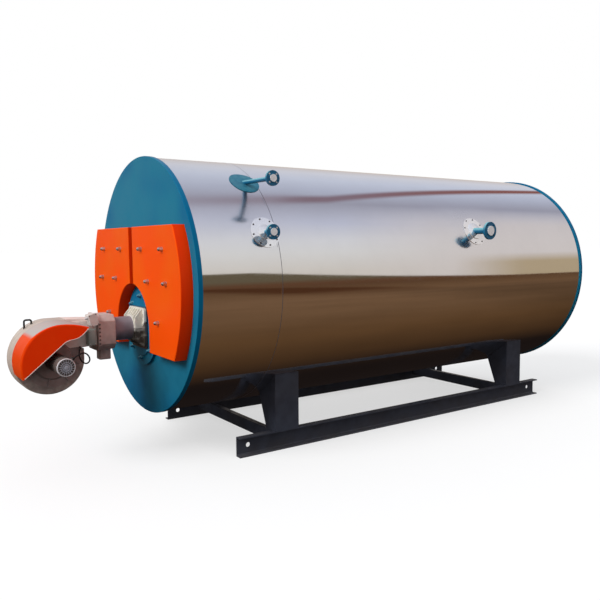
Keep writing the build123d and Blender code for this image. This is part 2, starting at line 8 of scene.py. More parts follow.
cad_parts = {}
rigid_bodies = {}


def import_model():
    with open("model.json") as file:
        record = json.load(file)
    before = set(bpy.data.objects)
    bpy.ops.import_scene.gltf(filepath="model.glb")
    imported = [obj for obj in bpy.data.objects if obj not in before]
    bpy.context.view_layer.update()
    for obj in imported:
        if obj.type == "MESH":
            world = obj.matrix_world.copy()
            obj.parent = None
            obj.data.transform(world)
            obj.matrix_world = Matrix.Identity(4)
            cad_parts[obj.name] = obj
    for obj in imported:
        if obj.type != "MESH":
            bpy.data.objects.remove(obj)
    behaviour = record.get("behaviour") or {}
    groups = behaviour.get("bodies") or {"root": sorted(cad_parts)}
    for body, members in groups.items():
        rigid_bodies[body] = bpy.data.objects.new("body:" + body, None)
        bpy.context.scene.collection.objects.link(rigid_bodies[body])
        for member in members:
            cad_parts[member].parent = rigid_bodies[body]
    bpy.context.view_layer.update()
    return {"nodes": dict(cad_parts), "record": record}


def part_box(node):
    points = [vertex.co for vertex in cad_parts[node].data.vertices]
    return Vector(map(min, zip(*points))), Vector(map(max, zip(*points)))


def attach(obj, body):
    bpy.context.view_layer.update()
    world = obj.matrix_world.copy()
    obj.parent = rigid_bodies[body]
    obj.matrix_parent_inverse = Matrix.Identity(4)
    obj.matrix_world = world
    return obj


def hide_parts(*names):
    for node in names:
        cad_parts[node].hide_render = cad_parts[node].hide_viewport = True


for left in list(bpy.data.objects):  # the start-up cube, lamp and camera
    bpy.data.objects.remove(left)
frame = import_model()
nodes = frame["nodes"]
print("frame:", len(nodes), "nodes")


def middle(name):
    low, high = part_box(name)
    return (low + high) / 2


# places on the boiler, in metres: the front face, the casing's axis, the burner's axis and the fan's axis
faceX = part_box("front_end_plate")[0].x
axisZ = middle("front_end_plate").z
burnerZ = middle("burner_plate").z
fanX, fanZ = middle("motor_cowl").x, middle("motor_cowl").z
casingRadius = (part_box("casing_rear_course")[1].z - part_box("casing_rear_course")[0].z) / 2
bothSides = (-1, 1)  # the near side is -y
hexSides = 6


def intoScene(name, data):
    made = bpy.data.objects.new(name, data)
    bpy.context.scene.collection.objects.link(made)
    return made


cameraLook = {
    "place": (faceX - 1.991, -5.194, axisZ + 0.3345), "yaw": 34.49, "pitch": -4.922, "roll": -0.486,
    "lens": 39.27, "sensor": 36.0,
}


def aimCamera(look):
    yaw, pitch, roll = (math.radians(look[k]) for k in ("yaw", "pitch", "roll"))
    ahead = Vector((math.sin(yaw) * math.cos(pitch), math.cos(yaw) * math.cos(pitch), math.sin(pitch)))
    level = Vector((math.cos(yaw), -math.sin(yaw), 0.0))
    above = level.cross(ahead)
    right = level * math.cos(roll) + above * math.sin(roll)
    up = above * math.cos(roll) - level * math.sin(roll)
    data = bpy.data.cameras.new("photoCamera")
    data.lens = look["lens"]
    data.sensor_width = look["sensor"]
    camera = intoScene("photoCamera", data)
    camera.matrix_world = Matrix((right, up, -ahead)).transposed().to_4x4()
    camera.location = look["place"]
    bpy.context.scene.camera = camera


aimCamera(cameraLook)
print("camera aimed")

# the motor lead: out of the motor's gland, a hanging loop, and back into the duct; points from the fan's axis
leadLook = {
    "gland": 0.090, "run": 0.046, "angle": 30.0, "out": -0.398, "diameter": 0.011, "length": 0.486,
    "route": [
        (0.1629, -0.3721, 0.0770), (0.2060, -0.3379, 0.0469), (0.2280, -0.3020, -0.0010),
        (0.2081, -0.2660, -0.0319), (0.1811, -0.2321, -0.0120), (0.1749, -0.1959, 0.0281),
        (0.1879, -0.1660, 0.0609), (0.2071, -0.1380, 0.0842), (0.2071, -0.1000, 0.0842),
    ],
}


def motorLead(look):
    aim = math.radians(look["angle"])
    starts = [look["gland"], look["gland"] + look["run"]]
    route = [(d * math.cos(aim), look["out"], d * math.sin(aim)) for d in starts] + look["route"]
    curve = bpy.data.curves.new("lead_sheath", "CURVE")
    curve.dimensions = "3D"
    curve.bevel_depth = 1.0  # the points' radius is the sheath's
    curve.bevel_resolution = 6
    curve.resolution_u = 16
    curve.use_fill_caps = True
    line = curve.splines.new("NURBS")
    line.points.add(len(route) - 1)
    for point, (x, y, z) in zip(line.points, route):
        point.co = (fanX + x, y, fanZ + z, 1.0)
        point.radius = look["diameter"] / 2
    line.order_u = 3
    line.use_endpoint_u = True
    piece = intoScene("lead_sheath", curve)
    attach(piece, "root")
    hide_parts("motor_lead")
    leave = (fanX + route[0][0], route[0][1], fanZ + route[0][2])
    return piece


leadSheath = motorLead(leadLook)
print("motor lead laid")


def tint(red, green, blue):  # a colour from 0 to 255, by the sRGB curve
    shares = [c / 255 for c in (red, green, blue)]
    return tuple(((c + 0.055) / 1.055) ** 2.4 if c > 0.04045 else c / 12.92 for c in shares) + (1.0,)


class Wire:
    # one socket of a node tree; sums and products of wires add Math nodes
    def __init__(self, tree, socket=None):
        self.tree = tree
        self.socket = socket

    def node(self, kind, settings=None, sockets=None, out=0):
        made = self.tree.nodes.new("ShaderNode" + kind)
        for key, value in (settings or {}).items():
            if key == "stops":
                ramp = made.color_ramp.elements
                while len(ramp) < len(value):
                    ramp.new(0.5)
                for stop, (place, colour) in zip(ramp, value):
                    stop.position = place
                    stop.color = colour
            else:
                setattr(made, key, value)
        for key, value in (sockets or {}).items():
            if isinstance(value, Wire):
                self.tree.links.new(value.socket, made.inputs[key])
            else:
                made.inputs[key].default_value = value
        return Wire(self.tree, made.outputs[out] if len(made.outputs) else None)

    def maths(self, operation, *terms):
        return self.node("Math", {"operation": operation}, dict(enumerate(terms)))

    def clip(self, low=0.0, high=1.0):
        return self.node("Clamp", None, {"Value": self, "Min": low, "Max": high})

    def part(self, index):  # x, y or z of a vector
        return self.node("SeparateXYZ", None, {"Vector": self}, index)

    def __abs__(self):
        return self.maths("ABSOLUTE", self)

    def __add__(self, other):
        return self.maths("ADD", self, other)

    def __sub__(self, other):
        return self.maths("SUBTRACT", self, other)

    def __mul__(self, other):
        return self.maths("MULTIPLY", self, other)

    def __truediv__(self, other):
        return self.maths("DIVIDE", self, other)

    def __rsub__(self, other):
        return self.maths("SUBTRACT", other, self)

    __radd__ = __add__
    __rmul__ = __mul__


def mixColours(mask, low, high):  # sockets 0, 6 and 7 are the factor and the two colours, output 2 the result
    return mask.node("Mix", {"data_type": "RGBA"}, {0: mask, 6: low, 7: high}, 2)


def grain(place, size, detail=3.0, stretch=None):  # noise whose blotches are about size metres
    if stretch:
        place = place.node("Mapping", None, {"Vector": place, "Scale": stretch})
    sockets = {"Vector": place, "Scale": 1 / size, "Detail": detail, "Roughness": 0.55}
    return place.node("TexNoise", None, sockets)


def band(value, low, high):  # 0 below low, 1 above high
    return ((value - low) / (high - low)).clip()


def bump(height, depth, tall, under=None):  # raised by noise, over another bump if one is given
    sockets = {"Strength": depth, "Distance": tall, "Height": height}
    if under:
        sockets["Normal"] = under
    return height.node("Bump", None, sockets)


def newFinish(name):
    finish = bpy.data.materials.new(name)
    finish.use_nodes = True
    shader = finish.node_tree.nodes["Principled BSDF"]
    return finish, shader, Wire(finish.node_tree).node("TexCoord", out="Object")


def plug(shader, **values):
    for key, value in values.items():
        socket = shader.inputs[key.replace("_", " ")]
        if isinstance(value, Wire):
            value.tree.links.new(value.socket, socket)
        else:
            socket.default_value = value


# every paint: soft blotches and clouds, fine specks, painted light on what faces the lamp (-x),
# grime and painted shade low down, dust and an even tone (a painted highlight on the nozzles) on what faces
# up, and a sprayed coat's peel; the pairs say from where to where a layer shows
coatLook = {
    "blotch": (0.36, 0.66), "cloud": (0.40, 0.62), "cloudSize": 3.1, "speck": (0.68, 0.76),
    "forward": (0.15, 0.75), "grimeAndShadeEven": 0.6, "dustAndSheen": (0.30, 0.72), "dustSize": 0.13,
    "dustRough": 0.35, "speckRough": 0.1, "roughLimits": (0.05, 0.95),
    "peelHeight": 0.0005, "sheetSize": 0.4, "sheetHeight": 0.004,
}


def paint(name, look):
    coat = coatLook
    finish, shader, place = newFinish(name)
    blotch = band(grain(place, look["blotch"], detail=2.0), *coat["blotch"])
    cloud = band(grain(place, look["blotch"] * coat["cloudSize"], detail=1.0), *coat["cloud"])
    speck = band(grain(place, look["speckSize"], detail=2.0), *coat["speck"])
    faces = place.node("NewGeometry", out="Normal")
    # painted light: faces turned to the lamp, at -x, take the lit-front colour, broken up by the clouds
    litFrontMask = band(0 - faces.part(0), *coat["forward"]) * (1 - cloud * look["litFrontPatch"]) * look["litFront"]
    settled = band(grain(place, coat["dustSize"], detail=5.0), *coat["dustAndSheen"])
    # dust by noise on what faces up, plus an even share there; on the nozzles that share is a painted
    # highlight
    dustAndSheen = band(faces.part(2), look["dustAndSheenFrom"], look["dustAndSheenTo"]) * (settled * look["dustAndSheen"] + look["evenTopShare"])
    # a colour laid towards one end of an axis: dirt low on the base, painted shade on the blue paint, the
    # burner's castings and the scroll's near wall
    low = (1 - band(place.part(look["grimeAndShadeAxis"]), look["grimeAndShadeFrom"], look["grimeAndShadeTo"])) * look["grimeAndShade"]
    grimeAndShade = low * (coat["grimeAndShadeEven"] + blotch * (1 - coat["grimeAndShadeEven"]))
    colour = mixColours(blotch, look["colour"], look["shade"])
    colour = mixColours(cloud * look["clouds"], colour, look["cloudColour"])
    colour = mixColours(litFrontMask, colour, look["litFrontColour"])
    colour = mixColours(speck * look["specks"], colour, look["speckColour"])
    colour = mixColours(grimeAndShade, colour, look["grimeAndShadeColour"])
    colour = mixColours(dustAndSheen, colour, look["dustAndSheenColour"])
    rough = blotch * look["roughSpan"] + look["rough"] + dustAndSheen * coat["dustRough"] + speck * coat["speckRough"]
    peel = bump(grain(place, look["peel"], detail=2.0), look["peelDepth"], coat["peelHeight"])
    sheet = bump(grain(place, coat["sheetSize"], detail=1.0), look["sheetDepth"], coat["sheetHeight"], peel)
    plug(shader, Base_Color=colour, Roughness=rough.clip(*coat["roughLimits"]), Normal=sheet)
    plug(shader, Specular_IOR_Level=look["gloss"])
    return finish


def tones(colour, shade, cloud, speck):  # the four colours that make one paint
    keys = ("colour", "shade", "cloudColour", "speckColour")
    return {key: tint(*tone) for key, tone in zip(keys, (colour, shade, cloud, speck))}


enamel = {
    "blotch": 0.16, "clouds": 0.5, "specks": 0.02, "speckSize": 0.005, "gloss": 0.06,
    "dustAndSheen": 0.12, "evenTopShare": 0.0, "dustAndSheenFrom": 0.5, "dustAndSheenTo": 0.98, "dustAndSheenColour": tint(170, 164, 156),
    "grimeAndShade": 0.0, "grimeAndShadeAxis": 2, "grimeAndShadeFrom": 0.2, "grimeAndShadeTo": 1.4, "grimeAndShadeColour": tint(6, 50, 76),
    "rough": 0.32, "roughSpan": 0.06, "peel": 0.007, "peelDepth": 0.015, "sheetDepth": 0.02,
    "litFront": 0.0, "litFrontPatch": 0.5, "litFrontColour": tint(200, 200, 200),
}
satin = dict(
    enamel, rough=0.42, roughSpan=0.1, gloss=0.35, peel=0.003, peelDepth=0.2, sheetDepth=0.0,
    dustAndSheen=0.25, clouds=0.3,
)
casting = dict(
    satin, rough=0.5, peel=0.0024, peelDepth=0.65, blotch=0.05, specks=0.3, speckSize=0.003, gloss=0.4,
)

# the casing's, covers' and nozzles' paints
# the end plate's front faces take a paler blue, painted light where the lamp falls, and the blue darkens
# towards the bottom, painted shade
blueEnamel = paint("blueEnamel", dict(
    enamel, **tones((0, 102, 142), (4, 108, 146), (0, 98, 142), (120, 150, 160)),
    litFront=0.85, litFrontPatch=0.8, litFrontColour=tint(26, 120, 147), dustAndSheenColour=tint(110, 160, 178),
    grimeAndShade=0.5, grimeAndShadeFrom=0.28, grimeAndShadeTo=1.25,
))
# the orange's front faces take a yellower orange: painted light where the lamp falls
orangeLook = dict(
    enamel, **tones((252, 58, 1), (252, 64, 5), (255, 56, 0), (190, 60, 12)),
    litFront=0.9, litFrontPatch=0.35, litFrontColour=tint(244, 93, 8), gloss=0.05, blotch=0.15,
    dustAndSheen=0.08, dustAndSheenColour=tint(250, 130, 80),
)
orangeEnamel = paint("orangeEnamel", orangeLook)
# the hood's front faces take a darker orange: painted shade that tones down its lit left wall
hoodOrange = paint("hoodOrange", dict(  # the hood's top wall is left in the castings' grey
    orangeLook, litFrontPatch=0.1, litFrontColour=tint(218, 68, 8),
    dustAndSheen=0.1, evenTopShare=0.9, dustAndSheenFrom=0.68, dustAndSheenTo=0.76, dustAndSheenColour=tint(176, 172, 168),
))
tealEnamel = paint("tealEnamel", dict(
    enamel, **tones((60, 128, 148), (38, 108, 132), (46, 106, 134), (130, 160, 170)), blotch=0.03,
))
# the pipes' upper faces take a pale teal: a painted highlight, with some dust
nozzleBlue = paint("nozzleBlue", dict(
    enamel, **tones((16, 98, 136), (24, 106, 142), (10, 88, 128), (110, 150, 160)), blotch=0.02,
    gloss=0.3, rough=0.34, dustAndSheen=0.2, evenTopShare=0.8, dustAndSheenFrom=0.0, dustAndSheenTo=0.6, dustAndSheenColour=tint(116, 174, 184),
))
capWhite = paint("capWhite", dict(
    satin, **tones((246, 242, 242), (236, 231, 231), (240, 234, 234), (200, 192, 190)), blotch=0.02,
    peelDepth=0.08,
))
lapShadowGrey = paint("lapShadowGrey", dict(
    satin, **tones((96, 96, 104), (84, 84, 92), (90, 88, 96), (60, 60, 66)), blotch=0.05,
))
baseBlack = paint("baseBlack", dict(
    satin, **tones((62, 66, 78), (53, 56, 67), (66, 64, 68), (110, 104, 100)), blotch=0.12,
    rough=0.36, gloss=0.2, specks=0.3, dustAndSheenColour=tint(96, 92, 88),
    grimeAndShade=0.4, grimeAndShadeFrom=0.0, grimeAndShadeTo=0.1, grimeAndShadeColour=tint(76, 70, 66),
))

# the burner's paints; its mounting, tube and body darken towards the underside, as painted shade
plateDark = paint("plateDark", dict(
    satin, **tones((62, 64, 70), (50, 52, 58), (44, 46, 52), (90, 90, 92)), blotch=0.08,
))
mountCream = paint("mountCream", dict(
    casting, **tones((240, 236, 224), (224, 219, 206), (214, 208, 195), (150, 142, 128)),
    grimeAndShade=1.3, grimeAndShadeFrom=burnerZ - 0.03, grimeAndShadeTo=burnerZ + 0.012, grimeAndShadeColour=tint(70, 62, 54),
))
tubeGrey = paint("tubeGrey", dict(
    satin, **tones((142, 135, 143), (126, 119, 127), (136, 122, 128), (90, 84, 90)), blotch=0.07,
    rough=0.32, dustAndSheen=0.15, grimeAndShade=0.8, grimeAndShadeFrom=burnerZ - 0.09, grimeAndShadeTo=burnerZ, grimeAndShadeColour=tint(78, 75, 84),
))
bodyCast = paint("bodyCast", dict(
    casting, **tones((200, 184, 178), (186, 168, 162), (190, 170, 164), (134, 116, 112)),
    grimeAndShade=0.7, grimeAndShadeFrom=burnerZ - 0.12, grimeAndShadeTo=burnerZ - 0.03, grimeAndShadeColour=tint(132, 114, 110),
))
boxLight = paint("boxLight", dict(
    satin, **tones((216, 210, 204), (204, 196, 190), (200, 192, 186), (140, 132, 126)), blotch=0.03,
))
boxGreen = paint("boxGreen", dict(
    satin, **tones((146, 164, 158), (132, 149, 144), (138, 148, 144), (90, 96, 92)), blotch=0.04,
))
# a paler copy of the castings' paint: painted light on the duct where the hood shades it
ductLitGrey = paint("ductLitGrey", dict(
    casting, **tones((240, 222, 214), (226, 207, 199), (222, 202, 194), (130, 118, 108)),
))
# the near wall is painted darker and browner than the lit rim: painted shade on the wall that faces away from
# the lamp
scrollGrey = paint("scrollGrey", dict(  # the near wall is browner than the rim
    casting, **tones((198, 184, 172), (184, 169, 157), (180, 163, 152), (130, 118, 108)),
    grimeAndShade=1.0, grimeAndShadeAxis=1, grimeAndShadeFrom=-0.0995, grimeAndShadeTo=-0.0975, grimeAndShadeColour=tint(132, 119, 115),
))
fanDark = paint("fanDark", dict(
    casting, **tones((148, 133, 130), (134, 119, 116), (138, 120, 116), (90, 80, 78)),
))
motorDark = paint("motorDark", dict(
    casting, **tones((100, 91, 86), (86, 78, 74), (92, 82, 76), (118, 110, 104)),
))
grilleGrey = paint("grilleGrey", dict(
    satin, **tones((168, 168, 178), (154, 154, 164), (160, 158, 166), (90, 90, 96)), blotch=0.012,
))
rimGrey = paint("rimGrey", dict(
    satin, **tones((206, 202, 204), (192, 188, 190), (196, 190, 190), (130, 128, 130)), blotch=0.02,
))
handleBlack = paint("handleBlack", dict(
    satin, **tones((30, 30, 31), (22, 22, 23), (34, 32, 32), (60, 58, 56)), blotch=0.03,
))
trimPale = paint("trimPale", dict(
    satin, **tones((226, 214, 206), (212, 198, 190), (220, 202, 192), (150, 130, 120)), blotch=0.03,
))
print("paints made")

# bare metals: long waves and short ripples of the sheet, smears and wiping lines
claddingLook = {
    "colour": (0.83, 0.83, 0.84, 1.0), "smearColour": (0.79, 0.79, 0.80, 1.0), "metal": 1.0,
    "rough": 0.055, "smearRough": 0.03, "scuffRough": 0.02,
    "wave": 0.7, "waveDepth": 0.035, "waveHeight": 0.01, "waveStretch": (0.5, 1.0, 1.0),
    "ripple": 0.12, "rippleDepth": 0.02, "rippleHeight": 0.002, "rippleStretch": (0.35, 1.0, 1.0),
    "scuff": 0.02, "scuffShows": (0.55, 0.8), "scuffStretch": (0.08, 1.0, 1.0),
    "smear": 0.28, "smearShows": (0.42, 0.72), "smearShare": 0.6,
    # fine dust by the front end and by the feed nozzle, and dirt low down; metres from the face and the axis
    "haze": 0.0, "hazeRise": (0.16, 0.50), "frontEnds": (0.75, 1.15),
    "feedShare": 1.5, "feedStarts": (2.35, 2.7), "feedEnds": (3.1, 3.5), "feedTop": (0.62, 0.72),
    "splash": 0.0, "splashRise": (-0.88, -0.72),
}


def polishedSheet(name, look):
    finish, shader, place = newFinish(name)
    wave = grain(place, look["wave"], detail=1.0, stretch=look["waveStretch"])
    ripple = grain(place, look["ripple"], detail=2.0, stretch=look["rippleStretch"])
    bumped = bump(wave, look["waveDepth"], look["waveHeight"])
    bumped = bump(ripple, look["rippleDepth"], look["rippleHeight"], bumped)
    scuff = grain(place, look["scuff"], detail=5.0, stretch=look["scuffStretch"])
    scuff = band(scuff, *look["scuffShows"])
    smear = band(grain(place, look["smear"], detail=4.0), *look["smearShows"])
    colour = mixColours(smear * look["smearShare"], look["colour"], look["smearColour"])
    back, rise = place.part(0) - faceX, place.part(2) - axisZ
    byFeed = band(back, *look["feedStarts"]) * (1 - band(back, *look["feedEnds"]))
    byFeed = byFeed * (1 - band(rise, *look["feedTop"]))
    handled = 1 - band(back, *look["frontEnds"]) + byFeed * look["feedShare"]
    haze = band(rise, *look["hazeRise"]) * handled * look["haze"]
    splash = (1 - band(rise, *look["splashRise"])) * look["splash"]
    rough = smear * look["smearRough"] + scuff * look["scuffRough"] + haze + splash + look["rough"]
    plug(shader, Base_Color=colour, Roughness=rough, Normal=bumped, Metallic=look["metal"])
    return finish


cladding = polishedSheet("polishedCladding", dict(claddingLook, haze=0.13, splash=0.16))
rosetteSteel = polishedSheet("rosetteSteel", dict(
    claddingLook, colour=(0.98, 0.98, 0.98, 1.0), smearColour=(0.94, 0.94, 0.95, 1.0), metal=0.74,
    rough=0.08, ripple=0.03, rippleDepth=0.2,
))
screwSteel = polishedSheet("screwSteel", dict(
    claddingLook, colour=(0.70, 0.65, 0.62, 1.0), smearColour=(0.62, 0.56, 0.52, 1.0),
    rough=0.36, ripple=0.01, rippleDepth=0.1,
))
screwDark = polishedSheet("screwDark", dict(
    claddingLook, colour=(0.16, 0.15, 0.16, 1.0), smearColour=(0.20, 0.16, 0.15, 1.0),
    rough=0.4, ripple=0.01, rippleDepth=0.1,
))
millSteel = polishedSheet("millSteel", dict(
    claddingLook, colour=(0.40, 0.39, 0.38, 1.0), rough=0.4, ripple=0.03, rippleDepth=0.3,
))

sheathLook = {
    "colour": tint(20, 20, 21), "worn": tint(34, 33, 33), "blotch": 0.02, "shows": (0.4, 0.7),
    "rough": 0.4, "roughSpan": 0.15, "grain": 0.0015, "depth": 0.2, "height": 0.0003,
}


def cableSheath(name, look):
    finish, shader, place = newFinish(name)
    blotch = band(grain(place, look["blotch"]), *look["shows"])
    colour = mixColours(blotch, look["colour"], look["worn"])
    rubber = bump(grain(place, look["grain"]), look["depth"], look["height"])
    plug(shader, Base_Color=colour, Roughness=blotch * look["roughSpan"] + look["rough"], Normal=rubber)
    return finish


sheathBlack = cableSheath("sheathBlack", sheathLook)
leadSheath.data.materials.append(sheathBlack)

finishes = {
    "polished_cladding": cladding, "bare_steel": millSteel, "rosette_steel": rosetteSteel,
    "blue_paint": blueEnamel, "orange_paint": orangeEnamel, "black_paint": baseBlack,
    "saddle_teal": tealEnamel, "cap_white": capWhite, "dark_plate": plateDark,
    "cast_mounting": mountCream, "tube_grey": tubeGrey, "cast_body": bodyCast,
    "box_light": boxLight, "box_green": boxGreen, "scroll_grey": scrollGrey, "fan_dark": fanDark,
    "motor_dark": motorDark, "cowl_grey": motorDark, "black_rubber": sheathBlack, "handle_black": handleBlack,
}
ownFinish = {"intake_hood": hoodOrange, "outlet_duct": ductLitGrey}
for subpart in frame["record"]["subparts"]:
    mesh = nodes[subpart["node"]].data
    mesh.materials.clear()
    own = nozzleBlue if "_nozzle_" in subpart["node"] else ownFinish.get(subpart["node"])
    mesh.materials.append(own or finishes[subpart["material_slot"]])
print("finishes on", len(nodes), "nodes")


def addPiece(name, shape, finish, crease=35):
    bmesh.ops.recalc_face_normals(shape, faces=shape.faces)
    mesh = bpy.data.meshes.new(name)
    shape.to_mesh(mesh)
    shape.free()
    mesh.materials.append(finish)
    mesh.polygons.foreach_set("use_smooth", [True] * len(mesh.polygons))
    mesh.set_sharp_from_angle(angle=math.radians(crease))
    piece = intoScene(name, mesh)
    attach(piece, "root")


def facing(point, axis, turn=0.0):  # takes a shape that stands on z = 0 to point, standing along axis
    upright = Vector(axis).to_track_quat("Z", "Y").to_matrix().to_4x4()
    return Matrix.Translation(point) @ upright @ Matrix.Rotation(turn, 4, "Z")


def easeEdges(shape, edges, size):
    bmesh.ops.bevel(
        shape, geom=edges, offset=size, offset_type="OFFSET", affect="EDGES", segments=2, profile=0.5,
        material=-1,
    )


def disc(shape, radius, low, high, edge, segments=32):  # its upper edge is eased
    made = bmesh.ops.create_cone(
        shape, cap_ends=True, segments=segments, radius1=radius, radius2=radius, depth=high - low,
        matrix=Matrix.Translation((0, 0, (low + high) / 2)),
    )["verts"]
    crown = {v for v in made if v.co.z > (low + high) / 2}
    easeEdges(shape, [e for e in shape.edges if all(v in crown for v in e.verts)], edge)


def slab(size, centre, edge):  # a block with all its edges eased
    shape = bmesh.new()
    bmesh.ops.create_cube(shape, size=1.0)
    bmesh.ops.scale(shape, vec=size, verts=shape.verts)
    easeEdges(shape, list(shape.edges), edge)
    bmesh.ops.translate(shape, vec=centre, verts=shape.verts)
    return shape


def turned(shape, profile, steps=48):  # spins a closed profile of (radius, height) about z
    verts = [shape.verts.new((radius, 0.0, height)) for radius, height in profile]
    edges = [shape.edges.new(pair) for pair in zip(verts, verts[1:] + verts[:1])]
    bmesh.ops.spin(
        shape, geom=verts + edges, cent=(0, 0, 0), axis=(0, 0, 1), angle=math.tau, steps=steps,
        use_merge=True, use_duplicate=False,
    )


def repeat(template, places, whole=None):  # adds a copy of the template at each place to one bmesh
    mesh = bpy.data.meshes.new("template")
    template.to_mesh(mesh)
    template.free()
    whole = whole or bmesh.new()
    for place in places:
        copy = mesh.copy()
        copy.transform(place)
        whole.from_mesh(copy)
        bpy.data.meshes.remove(copy)
    bpy.data.meshes.remove(mesh)
    return whole


# shares of the bolt's height
boltLook = {"washerShare": 0.22, "washerEase": 0.05, "washerSteps": 28, "headEase": 0.12}


def hexBolt(look):
    shape = bmesh.new()
    height, bearing = look["height"], look["height"] * boltLook["washerShare"]
    disc(shape, look["washer"], 0.0, bearing, height * boltLook["washerEase"], boltLook["washerSteps"])
    disc(shape, look["across"] / math.sqrt(3), bearing, height, height * boltLook["headEase"], hexSides)
    return shape


screwLook = {"ease": 0.45, "recess": 0.3, "sunk": 0.4, "steps": 20}  # shares of the height and the radius


def panScrew(radius, height):  # low round head with a sunk recess
    shape = bmesh.new()
    disc(shape, radius, 0.0, height, height * screwLook["ease"], screwLook["steps"])
    top = max(shape.faces, key=lambda face: face.calc_center_median().z)
    bmesh.ops.inset_region(shape, faces=[top], thickness=radius * screwLook["recess"], depth=0.0)
    bmesh.ops.translate(shape, vec=(0, 0, -height * screwLook["sunk"]), verts=top.verts)
    return shape


def ringTurns(look):
    return [math.radians(look["start"] + 360 * i / look["count"]) for i in range(look["count"])]


def ringPlaces(x, z, look, axis):  # each head is turned its own way
    reach = look["circle"]
    return [facing((x, reach * math.cos(t), z + reach * math.sin(t)), axis, t * 3) for t in ringTurns(look)]


# smoke-box covers: domed nuts on studs
coverNutLook = {
    "washer": 0.019, "washerHeight": 0.003, "washerEase": 0.001, "washerSteps": 28,
    "across": 0.030, "nutHeight": 0.018, "nutEase": 0.0015, "dome": 0.0150, "domeStretch": 1.1, "turn": 0.3,
    "places": [(0.236, 0.302), (0.655, 0.302), (0.365, 0.052), (0.713, 0.050), (0.548, -0.254)],
}


def domeNut(look):
    shape = bmesh.new()
    seat, top = look["washerHeight"], look["washerHeight"] + look["nutHeight"]
    disc(shape, look["washer"], 0.0, seat, look["washerEase"], look["washerSteps"])
    disc(shape, look["across"] / math.sqrt(3), seat, top, look["nutEase"], hexSides)
    ball = bmesh.ops.create_uvsphere(shape, u_segments=20, v_segments=12, radius=look["dome"])["verts"]
    bmesh.ops.scale(shape, vec=(1.0, 1.0, look["domeStretch"]), verts=ball)
    bmesh.ops.translate(shape, vec=(0, 0, top), verts=ball)
    return shape


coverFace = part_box("smokebox_cover_near")[0].x
coverPlaces = [
    facing((coverFace, side * out, axisZ + rise), (-1, 0, 0), coverNutLook["turn"] * i)
    for i, (out, rise) in enumerate(coverNutLook["places"]) for side in bothSides
]
addPiece("cover_nuts", repeat(domeNut(coverNutLook), coverPlaces), screwSteel)

# burner plate: eight studs with nuts, under the plate's own paint
plateBoltLook = {
    "across": 0.030, "height": 0.020, "washer": 0.021, "circle": 0.256, "count": 8, "start": 90.0,
    "stud": 0.010, "reach": 0.034, "studEase": 0.002, "studSteps": 20, "plate": 0.022,
}


def studNut(look):
    shape = hexBolt(look)
    disc(shape, look["stud"], look["height"], look["reach"], look["studEase"], look["studSteps"])
    return shape


platePlaces = ringPlaces(faceX - plateBoltLook["plate"], burnerZ, plateBoltLook, (-1, 0, 0))
addPiece("burner_plate_bolts", repeat(studNut(plateBoltLook), platePlaces), nozzleBlue)

# clean-out cover on the rear end
cleanBoltLook = {
    "across": 0.027, "height": 0.018, "washer": 0.018, "circle": 0.276, "count": 12, "start": 15.0,
    "plate": 0.018,
}
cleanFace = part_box("clean_out_cover")[0].x + cleanBoltLook["plate"]
cleanPlaces = ringPlaces(cleanFace, middle("clean_out_cover").z, cleanBoltLook, (1, 0, 0))
addPiece("clean_out_bolts", repeat(hexBolt(cleanBoltLook), cleanPlaces), nozzleBlue)
print("bolts placed")

# cladding: the front sheet's edge laps over the rear sheet in a fine step, with a thin dark line at its foot,
# a painted shadow of the step
lapLook = {
    "width": 0.014, "sunk": 0.002, "proud": 0.0012, "ease": 0.004, "line": 0.005, "lineProud": 0.000625,
    "steps": 240, "crease": 20,
}


def hoop(name, profile, x, finish, look):
    shape = bmesh.new()
    turned(shape, profile, look["steps"])
    bmesh.ops.transform(shape, matrix=facing((x, 0, axisZ), (1, 0, 0)), verts=shape.verts)
    addPiece(name, shape, finish, look["crease"])


def sheetLap(look):
    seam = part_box("casing_rear_course")[0].x
    width, line = look["width"], look["line"]
    low, high, thin = (casingRadius + step for step in (-look["sunk"], look["proud"], look["lineProud"]))
    hoop("sheet_lap", [(low, 0.0), (high, look["ease"]), (high, width), (low, width)], seam, cladding, look)
    foot = [(low, 0.0), (thin, 0.0), (thin, line), (low, line)]
    hoop("sheet_lap_shadow", foot, seam + width, lapShadowGrey, look)


sheetLap(lapLook)

# rosettes: a raised collar round each pipe, and pan screws round the rim
rosetteLook = {
    "screw": 0.0065, "screwHeight": 0.005, "thickness": 0.0044,
    "edge": 0.009, "ease": 0.002, "top": 0.017, "neck": 0.010, "bore": 0.5, "crease": 25,
    "lower_gauge": {"screws": 0.108, "count": 8, "start": 10.0, "collar": 0.062, "pipe": 0.017},
    "feed": {"screws": 0.124, "count": 8, "start": 30.0, "collar": 0.082, "pipe": 0.030},
}


def onCasing(stem, along, around, proud):  # a spot on the cladding near a nozzle, and the way it faces
    side = math.copysign(1.0, stem.y)
    lean = math.asin((stem.z - axisZ) / casingRadius) + around / casingRadius
    way = Vector((0, side * math.cos(lean), math.sin(lean)))
    return Vector((stem.x + along, 0, axisZ)) + way * (casingRadius + proud), way


